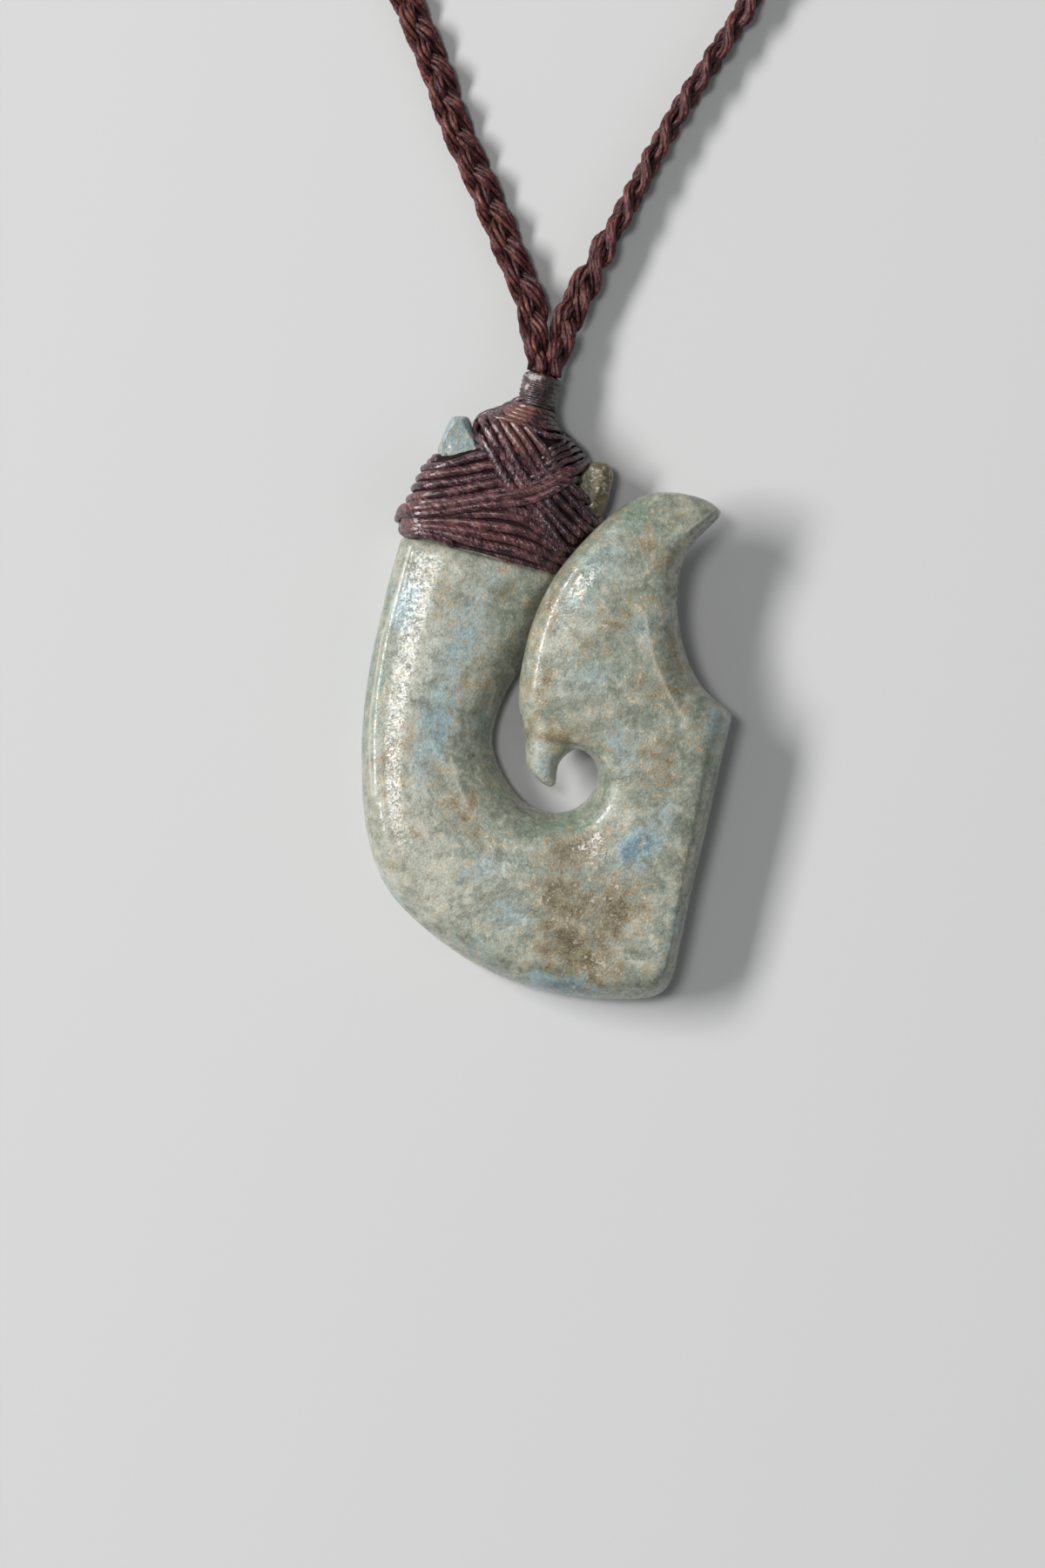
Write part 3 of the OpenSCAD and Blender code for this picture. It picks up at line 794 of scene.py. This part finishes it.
# The dark arcs at the right of the dome, which go round to the back
ARCS = [
    [(-0.6, 36.9), (1.2, 37), (3, 37.6), (4.6, 38.5), (5.6, 39.1)],
    [(-0.1, 37.5), (1.6, 37.75), (3.2, 38.5), (4.7, 39.3), (5.6, 39.75)],
    [(0.5, 38.2), (2, 38.6), (3.4, 39.4), (4.7, 40.05), (5.4, 40.4)],
    [(1, 38.9), (2.3, 39.4), (3.5, 40.15), (4.6, 40.7), (5.1, 40.95)],
    [(1.5, 39.6), (2.6, 40.2), (3.8, 40.9), (4.6, 41.4)],
]
# How high each set of turns lies, in thread thicknesses
LAYERS = {"band": 0.0, "fan": 0.25, "diagonal": 0.5, "rising": 0.95, "collar": 0.65}
ARC_LAYER = 0.6
THREAD_HALF = 0.43 * MM
COLLAR_HALF = 0.3 * MM
ARC_HALF = 0.3 * MM
# An arc comes up over this length, from this share of its rise below the core's surface
ARC_SINKS = 1.6 * MM
ARC_START = 0.8
THREAD_THICK = 0.66 * MM
THREAD_SIDES = 12
THREAD_STEP = 0.36 * MM
WAVER = 0.05 * MM
SWELL = 0.07
SIDE_LEVEL = 2.8 * MM
BACK_LEVEL = -1.0 * MM
OVERHANG = 1.2 * MM
LIFT_OFF = 1.0 * MM
ABOVE_ALL = 20 * MM
BACK_POINTS = 9
BACK_MARGIN = 0.06
PULL_ROUNDS = 6
# A thread's middle stays this share of its thickness above the floor
FLOOR_SHARE = 0.55
LAID_OUTSIDE = 0.15


def front_height(x, y):
    """Height of the core's front above a place in plan."""
    hit = core_tree.ray_cast(Vector((x, y, ABOVE_ALL)), Vector((0, 0, -1)))[0]
    return hit.z if hit else SIDE_LEVEL


def above_front(front):
    """The smooth line through plan points, a little above the front of the core."""
    return [(x, y, front_height(x, y) + LIFT_OFF) for x, y in smooth_curve(front, steps=6)]


def loop_round_head(front):
    """A rough closed loop: over the front points, round the right edge, across the back, round the left."""
    front = np.array(front) * MM
    rough = above_front(front)[1:-1]
    left, right = front[0], front[-1]
    out = (right - left) / np.linalg.norm(right - left)
    rough.append((*(right + out * OVERHANG), SIDE_LEVEL))
    for share in np.linspace(BACK_MARGIN, 1 - BACK_MARGIN, BACK_POINTS):
        rough.append((*(right + (left - right) * share), BACK_LEVEL))
    rough.append((*(left - out * OVERHANG), SIDE_LEVEL))
    return even_steps(smooth_curve(rough, steps=4, closed=True), THREAD_STEP, closed=True)


def arc_on_front(front):
    """A rough open line over the front points and round the right edge."""
    front = np.array(front) * MM
    rough = above_front(front)[:-1]
    out = (front[-1] - front[0]) / np.linalg.norm(front[-1] - front[0])
    rough.append((*(front[-1] + out * OVERHANG), SIDE_LEVEL))
    rough.append((*(front[-1] - out * OVERHANG), BACK_LEVEL))
    return even_steps(smooth_curve(rough, steps=4), THREAD_STEP)


def pulled_tight(rough, rise, closed=True):
    """The line on the core's surface, raised by rise, and the outward direction at each point."""
    nearest = [core_tree.find_nearest(Vector(place)) for place in rough]
    on_core = np.array([hit for hit, *_ in nearest])
    outward = np.array([normal for _, normal, *_ in nearest])
    for _ in range(PULL_ROUNDS):
        for values in (on_core, outward):
            middle = 0.5 * values + 0.25 * (np.roll(values, 1, axis=0) + np.roll(values, -1, axis=0))
            if not closed:
                middle[0], middle[-1] = values[0], values[-1]
            values[:] = middle
    outward = unit(outward)
    if not closed:
        emerged = np.minimum(1, np.arange(len(rough)) * THREAD_STEP / ARC_SINKS)
        rise = rise * ((1 + ARC_START) * emerged - ARC_START)[:, None]
    lifted = on_core + outward * rise
    lifted[:, 2] = np.maximum(lifted[:, 2], THREAD_THICK * FLOOR_SHARE)
    return lifted, outward


def add_thread(tubes, path, outward, half_wide, closed):
    """A thread along a path, from which it wavers a little, in whole waves on a closed loop."""
    across = unit(np.cross(directions(path, closed), outward))
    turn = np.linspace(0, 2 * np.pi, len(path), endpoint=False)
    waves = random.randint(3, 7)
    waver = WAVER * np.sin(waves * turn + random.uniform(0, 6))
    lift = WAVER * np.sin((waves + 2) * turn + random.uniform(0, 6))
    path = path + across * waver[:, None] + outward * lift[:, None]
    swelling = 1 + SWELL * np.sin((waves + 5) * turn + random.uniform(0, 6))
    half_wide = half_wide * random.uniform(0.92, 1.08) * swelling
    half_thick = THREAD_THICK / 2 * random.uniform(0.9, 1.05)
    tubes.add(path, outward, half_wide, half_thick, THREAD_SIDES, closed, tone=random.random())


random.seed(4)
lashing_tubes = Tubes()
for set_name, turns in TURNS.items():
    for front in turns:
        rise = (LAID_OUTSIDE + LAYERS[set_name] + random.uniform(-0.04, 0.04)) * THREAD_THICK
        path, outward = pulled_tight(loop_round_head(front), rise)
        half_wide = COLLAR_HALF if set_name == "collar" else THREAD_HALF
        add_thread(lashing_tubes, path, outward, half_wide, closed=True)
for front in ARCS:
    path, outward = pulled_tight(arc_on_front(front), ARC_LAYER * THREAD_THICK, closed=False)
    add_thread(lashing_tubes, path, outward, ARC_HALF, closed=False)
threads = lashing_tubes.mesh("lashing_turns")
print("lashing:", sum(map(len, TURNS.values())), "turns,", triangles(threads), "triangles")

# %% [markdown]
# Waxed thread is dark and glossy. Its filaments run along it, so the streaks of the bump are long in the
# first direction of the UV map and short in the second, and lean a little, because the thread is twisted.
# The wax breaks the gloss into short glints, and pale glints are painted on top as well. The colour follows
# the streaks of the bump, so the valleys carry painted shade and the filaments a painted highlight. The same
# finish, with other colours and less gloss, is used for the yarns of the plait.

# %% Thread finish
# Where the thread is darkened: painted shade over the right side of the lashing and its dome, where the light
# falls off, and a real dark blob of wax at the foot of the left plait. Columns as for the patches of the
# stone
SHADE_AND_SOAKED = [
    (5, 35.2, 6.5, 3.6, 60, 1.3),
    (4.4, 40.6, 4.4, 3.4, -50, 1.2),
    (2.4, 30.6, 5, 2.4, -20, 0.9),
    (1.6, 40, 5, 3.4, -50, 0.6),
    (0.2, 48.6, 1.4, 0.9, 70, 1.5),
]
# Where the thread under the neck kept its warm brown
WARMED = [
    (-0.5, 43.6, 2.8, 1.5, 28, 1.4),
    (-0.4, 41.4, 3.4, 2.2, -55, 0.8),
]
WARM_BROWN = (0.26, 0.105, 0.07, 1)
PAINTED_GLINT = (0.4, 0.31, 0.32, 1)
SHADE_AND_SOAKED_LOSS = 0.62
# How much the painted shade of buried yarns darkens them
BURIED_LOSS = 0.72


def yarn_finish(name, dark, light, warm, roughness, gloss, twist, streak_depth, glint_share):
    """Waxed thread or yarn: painted shade in its valleys, a painted highlight on its filaments, and pale
    painted glints.
    """
    material, shader, start = new_finish(name, roughness)
    shader.inputs["Specular IOR Level"].default_value = gloss
    uv = start.node("UVMap", {"uv_map": "along_and_around"})
    tone = start.node("Attribute", {"attribute_name": "tone"}, output=2)
    along = uv.node("SeparateXYZ", None, {0: uv}, output=0) * (1 / MM)
    around = uv.node("SeparateXYZ", None, {0: uv}, output=1)
    ply = around + along * twist
    lengthwise = start.node("CombineXYZ", None, {0: along * 0.5, 1: ply * 6.0, 2: tone * 40})
    streaks = lengthwise.grain(1.3, detail=3, roughness=0.6)
    place = millimetres(start)
    wax = place.grain(1.1, detail=4, roughness=0.6)
    grit = place.grain(4.0, detail=3, roughness=0.65)
    # The colour follows the bump's streaks: painted shade in the valleys and a painted highlight on the
    # filaments
    colour = plain(start, dark).tint((streaks * 0.5 + wax * 0.3 + grit * 0.3).step(-0.25, 0.75), light)
    colour = colour.tint((tone + wax * 0.6).step(0.45, 1.2) * 0.5, warm)
    colour = colour.scaled(1 + grit * 0.35 + streaks * 0.15)
    # Pale painted glints
    glints = (grit * 0.5 + streaks * 0.5 + wax * 0.2).step(1.05 - glint_share, 1.65 - glint_share)
    warmed = patch_mask(place, WARMED).step(0.0, 1.0)
    colour = colour.tint(warmed * 0.5, WARM_BROWN)
    colour = colour.tint(glints * 0.8, PAINTED_GLINT)
    # Painted shade on the right of the lashing, and the real dark wax blob at the left plait's foot
    shade_and_soaked = patch_mask(place, SHADE_AND_SOAKED).step(0.0, 1.0)
    # Painted shade where yarns lie deep in the plait
    buried = start.node("Attribute", {"attribute_name": "buried"}, output=2)
    colour = colour.scaled((1 - shade_and_soaked * SHADE_AND_SOAKED_LOSS) * (1 - buried * BURIED_LOSS))
    feed(shader, "Base Color", colour)
    feed(shader, "Roughness", roughness + wax * 0.07 + grit * 0.05)
    feed(shader, "Normal", bump(streaks * 0.7 + grit * 0.3, streak_depth))
    return material


lashing_finish = yarn_finish(
    "waxed_lashing_thread",
    dark=(0.026, 0.009, 0.012, 1),
    light=(0.212, 0.092, 0.106, 1),
    warm=(0.17, 0.062, 0.052, 1),
    roughness=0.2,
    gloss=0.8,
    twist=0.35,
    streak_depth=0.03 * MM,
    glint_share=0.72,
)
core_finish, core_shader, _ = new_finish("lashing_shade", 0.7)
core_shader.inputs["Base Color"].default_value = CORE_COLOUR
core_shader.inputs["Specular IOR Level"].default_value = 0.2
core.data.materials.append(core_finish)
threads.data.materials.append(lashing_finish)
for piece in (core, threads):
    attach(piece, "root")
    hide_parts("head_lashing")
print("lashing finished")

# %% [markdown]
# ## The plaits
#
# Three strands are plaited, and each is a bundle of thinner yarns. Seen along the plait, a strand swings from
# side to side once in a period while it rises and dips twice, and each strand is a third of a period behind
# the last. A flat core in each strand closes the pinholes between its yarns, and is darkened in full as
# painted shade. What lies deep between the strands is marked as buried, and the finish darkens it as painted
# shade. The route is the CAD tube's: the same points and the same curve.

# %% The route of each plait
# Columns, in mm from the middle of the whipping's top: x, y, height, width and thickness as shares, turn.
# Where a row leaves out its last columns, they are those of a plait that lies on the floor
LYING = (1.15, 1, 1, 0)
LEFT_ROUTE = [
    (-0.9, 2.5, 2.9, 0.76, 1.18, 0),
    (-1.1, 4.5, 2.55, 0.94, 1.05, 0),
    (-1.4, 7, 2.1),
    (-3.3, 12, 1.5),
    (-5.8, 18, 1.2),
    (-8.3, 23.5),
    (-10.8, 30.5),
    (-16.3, 43),
    (-24.8, 61),
    (-34.8, 80.5),
    (-45.3, 100.5),
    (-54.3, 121.5),
    (-59.8, 144),
    (-60.8, 167.5),
    (-56.8, 190.5),
    (-47.3, 212.5),
    (-32.3, 231.5),
    (-12.3, 244.5, 1.3),
]
RIGHT_ROUTE = [
    (1.7, 2.5, 2.9, 0.76, 1.18, 0),
    (2.2, 4.5, 2.6, 0.94, 1.08, 5),
    (3.3, 7.3, 2.25, 1, 1, 20),
    (5.5, 11.7, 1.95, 1, 1, 60),
    (8.5, 17.1, 1.75, 1, 1, 90),
    (12.5, 24.5, 1.65, 1, 1, 90),
    (17, 31.5, 1.65, 1, 1, 90),
    (24.5, 43, 1.7, 1, 1, 70),
    (36, 59.5, 1.5, 1, 1, 30),
    (49.5, 77.5, 1.2),
    (62.5, 96.5),
    (74, 117),
    (83, 139.5),
    (87.5, 163.5),
    (86.5, 187.5),
    (79, 210.5),
    (65, 230.5),
    (45, 244.5, 1.3),
]
BRAID_WIDE = 3.1
WHIP_FOOT = np.array([1.32, 44.85, 3.05])
WHIP_LEAN = math.radians(14.8)
WHIP_LENGTH = 2.8
WHIP_SUNK = 0.6
WHIP_RUN = np.array([math.sin(WHIP_LEAN), math.cos(WHIP_LEAN), 0])
WHIP_ACROSS = np.array([math.cos(WHIP_LEAN), -math.sin(WHIP_LEAN), 0])
WHIP_TOP = WHIP_FOOT + WHIP_LENGTH * WHIP_RUN
EXIT_STEPS = (0.1, 0.4, 1.0)
EXIT_WIDE = 0.56
EXIT_THICK = 1.3
EXIT_GAP = 0.12
EXIT_HALF = (EXIT_WIDE * BRAID_WIDE + EXIT_GAP) / 2
JOIN_MIDDLE = np.array([15.8, 250.4])
JOIN_LENGTH = 12
JOIN_DIAMETER = 4.4
JOIN_TURN = math.radians(2.5)
JOIN_RUN = np.array([math.cos(JOIN_TURN), math.sin(JOIN_TURN)])
JOIN_STEPS = (6, 2, 0.1)
JOIN_ENTER = 2.0


def whole_route(side, route):
    """A plait's rows from the whipping to the join; side is -1 for the left one, 1 for the right one."""
    rows = []
    for d in EXIT_STEPS:
        x, y, _ = d * WHIP_RUN + side * EXIT_HALF * WHIP_ACROSS
        rows.append((x, y, WHIP_TOP[2], EXIT_WIDE, EXIT_THICK, 0))
    rows.extend(row + LYING[len(row) - 2:] for row in route)
    for d in JOIN_STEPS:
        x, y = JOIN_MIDDLE + side * (JOIN_LENGTH / 2 + d) * JOIN_RUN
        rows.append((x, y, JOIN_ENTER, 1, 1, 0))
    rows = smooth_curve(rows, steps=16)
    rows[:, :2] += WHIP_TOP[:2]
    return rows


print("routes:", len(LEFT_ROUTE), "and", len(RIGHT_ROUTE), "points")


# %% Plait the yarns
PERIOD = 11.4
STRANDS = 3
YARNS = 7
YARN_RADIUS = 0.24
YARN_PITCH = 10.5
YARN_SIDES = 6
YARN_STEP = 0.5
BUNDLE_WIDE = 0.61
BUNDLE_THICK = 0.31
CORE_WIDE = 0.44
CORE_THICK = 0.2
SWING = 0.8
SWING_SQUARED = 0.09
RISE = 0.53
STRAY = 0.06
STRAY_LENGTHS = (7.3, 3.1, 1.7)
PRESSED_TOGETHER = 0.16
PRESSED_ALONG = 7.0
# A yarn is fully lit where it lies this share of the plait's half width or further out
LIT_RIM = 0.92
SHADE_DEPTH = 0.5


def stray(along, maker):
    """A small smooth wandering along a yarn, in mm."""
    total = 0
    for length in STRAY_LENGTHS:
        wave = length * maker.uniform(0.8, 1.2)
        total = total + np.sin(along * 2 * np.pi / wave + maker.uniform(0, 6.28))
    return total * STRAY / 2


def plait_directions(middle, turn):
    """Across the plait's wide side and across its thin side at each point, turned about its run."""
    run = np.gradient(middle, axis=0)
    run[:, 2] = 0
    run = unit(run)
    level = np.stack([run[:, 1], -run[:, 0], 0 * run[:, 0]], axis=1)
    up = np.array([0.0, 0.0, 1.0])
    flat = np.cos(turn) * level + np.sin(turn) * up
    tall = -np.sin(turn) * level + np.cos(turn) * up
    return flat, tall


def plait(name, side, route, seed):
    """One arm of the loop, as a mesh of its yarns."""
    rows = even_steps(whole_route(side, route), YARN_STEP)
    middle = rows[:, :3]
    wide, thick, turn = rows[:, 3:].T
    flat, tall = plait_directions(middle, np.radians(turn)[:, None])
    along = np.arange(len(rows)) * YARN_STEP
    pressed = -side * PRESSED_TOGETHER * np.clip(1.5 - along / PRESSED_ALONG, 0, 1)
    maker = random.Random(seed)
    tubes = Tubes()
    for strand in range(STRANDS):
        swing = 2 * np.pi * (along / PERIOD + strand / STRANDS)
        aside = SWING * (np.sin(swing) + SWING_SQUARED * np.sin(3 * swing))
        raised = -RISE * np.sin(2 * swing)
        core_path = middle + (aside * wide + pressed)[:, None] * flat + (raised * thick)[:, None] * tall
        # The core is darkened in full, as painted shade between the yarns
        tubes.add(
            core_path * MM, tall, CORE_WIDE * MM, CORE_THICK * MM, YARN_SIDES,
            closed=False, tone=0.5, buried=1.0,
        )
        for yarn in range(YARNS):
            wobble = maker.uniform(-0.3, 0.3)
            twist = 2 * np.pi * (along / YARN_PITCH + yarn / YARNS) + wobble + strand
            x = (aside + BUNDLE_WIDE * np.cos(twist) + stray(along, maker)) * wide + pressed
            z = (raised + BUNDLE_THICK * np.sin(twist) + stray(along, maker)) * thick
            path = middle + x[:, None] * flat + z[:, None] * tall
            rim = np.hypot(x / (SWING + BUNDLE_WIDE) / wide, z / (RISE + BUNDLE_THICK) / thick)
            buried = np.clip((LIT_RIM - rim) / SHADE_DEPTH, 0, 1)
            outward = np.cos(twist)[:, None] * flat + np.sin(twist)[:, None] * tall
            radius = YARN_RADIUS * maker.uniform(0.92, 1.08)
            tubes.add(
                path * MM, outward, radius * MM, radius * MM, YARN_SIDES,
                closed=False, tone=maker.random(), buried=buried,
            )
    return tubes.mesh(name)


plait_finish = yarn_finish(
    "plait_yarn",
    dark=(0.048, 0.012, 0.013, 1),
    light=(0.225, 0.076, 0.072, 1),
    warm=(0.27, 0.095, 0.06, 1),
    roughness=0.42,
    gloss=0.32,
    twist=0.3,
    streak_depth=0.036 * MM,
    glint_share=0.35,
)
for name, side, route, node_name in (
    ("plait_left", -1, LEFT_ROUTE, "braid_left"),
    ("plait_right", 1, RIGHT_ROUTE, "braid_right"),
):
    piece = plait(name, side, route, seed=side + 7)
    piece.data.materials.append(plait_finish)
    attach(piece, "root")
    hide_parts(node_name)
    print(name, triangles(piece), "triangles")

# %% [markdown]
# ## The whipping and the join
#
# The whipping is thread wound so tight, and so soaked in wax, that it reads as one dark glossy barrel with
# faint ridges. A ridged outline is spun round its axis, then made a little uneven. Its foot reaches down
# into the lashing, so that no gap shows there. The join behind the neck is the same thing, longer.

# %% Spin a wound barrel
# Where pale wax was smeared on the whipping. Columns as for the patches of the stone
WAX_SMEARS = [
    (1.0, 47.3, 1.7, 0.7, -15, 1.1),
    (0.4, 46.3, 1.3, 0.5, 65, 0.8),
]
WHIP_DARK = (0.018, 0.011, 0.011, 1)
WHIP_LIGHT = (0.12, 0.062, 0.058, 1)
SMEARED_WAX = (0.46, 0.43, 0.4, 1)
WHIP_GRAIN = 0.05 * MM
WHIP_RADIUS = 1.89
JOIN_RADIUS = 2.17
STEPS_PER_TURN = 6
STEPS_AROUND = 56
SHOULDER = 0.45
SHOULDER_LENGTH = 0.5


def wound_barrel(name, radius, length, turns, ridge, unevenness, seed):
    """A barrel of wound thread that stands on the origin, along +Z, in mm."""
    steps = turns * STEPS_PER_TURN
    outline = [(0.0, 0.0)]
    for i in range(steps + 1):
        share = i / steps
        end = min(share, 1 - share) * length
        shoulder = SHOULDER * max(0.0, 1 - end / SHOULDER_LENGTH) ** 2
        valley = ridge * abs(math.cos(math.pi * turns * share)) ** 3
        outline.append((radius - shoulder - valley, share * length))
    outline.append((0.0, length))
    data = bpy.data.meshes.new(name)
    data.from_pydata([(r, 0, z) for r, z in outline], [(i, i + 1) for i in range(len(outline) - 1)], [])
    piece = new_piece(name, data)
    bpy.ops.object.mode_set(mode="EDIT")
    bpy.ops.mesh.select_all(action="SELECT")
    bpy.ops.mesh.spin(steps=STEPS_AROUND, angle=2 * math.pi, center=(0, 0, 0), axis=(0, 0, 1))
    bpy.ops.mesh.select_all(action="SELECT")
    bpy.ops.mesh.remove_doubles(threshold=0.001)
    bpy.ops.mesh.normals_make_consistent(inside=False)
    bpy.ops.object.mode_set(mode="OBJECT")
    for vertex in piece.data.vertices:
        place = vertex.co * 0.9 + Vector((seed, 0, 0))
        vertex.co += Vector((vertex.co.x, vertex.co.y, 0)) * noise.fractal(place, 1.0, 2.0, 4) * unevenness
    bpy.ops.object.shade_smooth()
    return piece


def placed(piece, turn, place):
    """Moves a piece's mesh from its own axis to its place, given in mm, and makes it metres."""
    piece.data.transform(Matrix.Translation(Vector(place) * MM) @ turn @ Matrix.Scale(MM, 4))
    piece.data.update()


def whipping_finish():
    material, shader, start = new_finish("waxed_whipping", 0.3, coat=0.4, coat_roughness=0.2)
    place = millimetres(start)
    grime = place.grain(1.0, detail=5, roughness=0.65)
    fibre = place.grain(3.0, detail=4, roughness=0.65)
    colour = plain(start, WHIP_DARK).tint(grime.step(-0.3, 0.9), WHIP_LIGHT)
    colour = colour.scaled(1 + fibre * 0.3)
    on_top = patch_mask(place, WAX_SMEARS)
    smear = (on_top + grime * 0.45 + fibre * 0.25).step(0.45, 0.95)
    colour = colour.tint(smear * 0.85, SMEARED_WAX)
    feed(shader, "Base Color", colour)
    feed(shader, "Roughness", 0.27 + fibre * 0.08)
    feed(shader, "Normal", bump(fibre * 0.6 + grime * 0.4, WHIP_GRAIN))
    return material


dark_wax = whipping_finish()
lean = Matrix.Rotation(-WHIP_LEAN, 4, "Z") @ Matrix.Rotation(math.radians(-90), 4, "X")
whipping = wound_barrel(
    "whipping_turns", WHIP_RADIUS, WHIP_LENGTH + WHIP_SUNK, turns=8, ridge=0.1, unevenness=0.06, seed=3
)
placed(whipping, lean, WHIP_FOOT - WHIP_SUNK * WHIP_RUN)
join_turn = Matrix.Rotation(JOIN_TURN, 4, "Z") @ Matrix.Rotation(math.radians(90), 4, "Y")
join_start = np.array([*(JOIN_MIDDLE + WHIP_TOP[:2] - JOIN_RUN * JOIN_LENGTH / 2), JOIN_DIAMETER / 2])
join = wound_barrel("join_turns", JOIN_RADIUS, JOIN_LENGTH, turns=16, ridge=0.12, unevenness=0.012, seed=9)
placed(join, join_turn, join_start)
for piece, node_name in ((whipping, "neck_whipping"), (join, "back_join")):
    piece.data.materials.append(dark_wax)
    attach(piece, "root")
    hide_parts(node_name)
    print(piece.name, triangles(piece), "triangles")
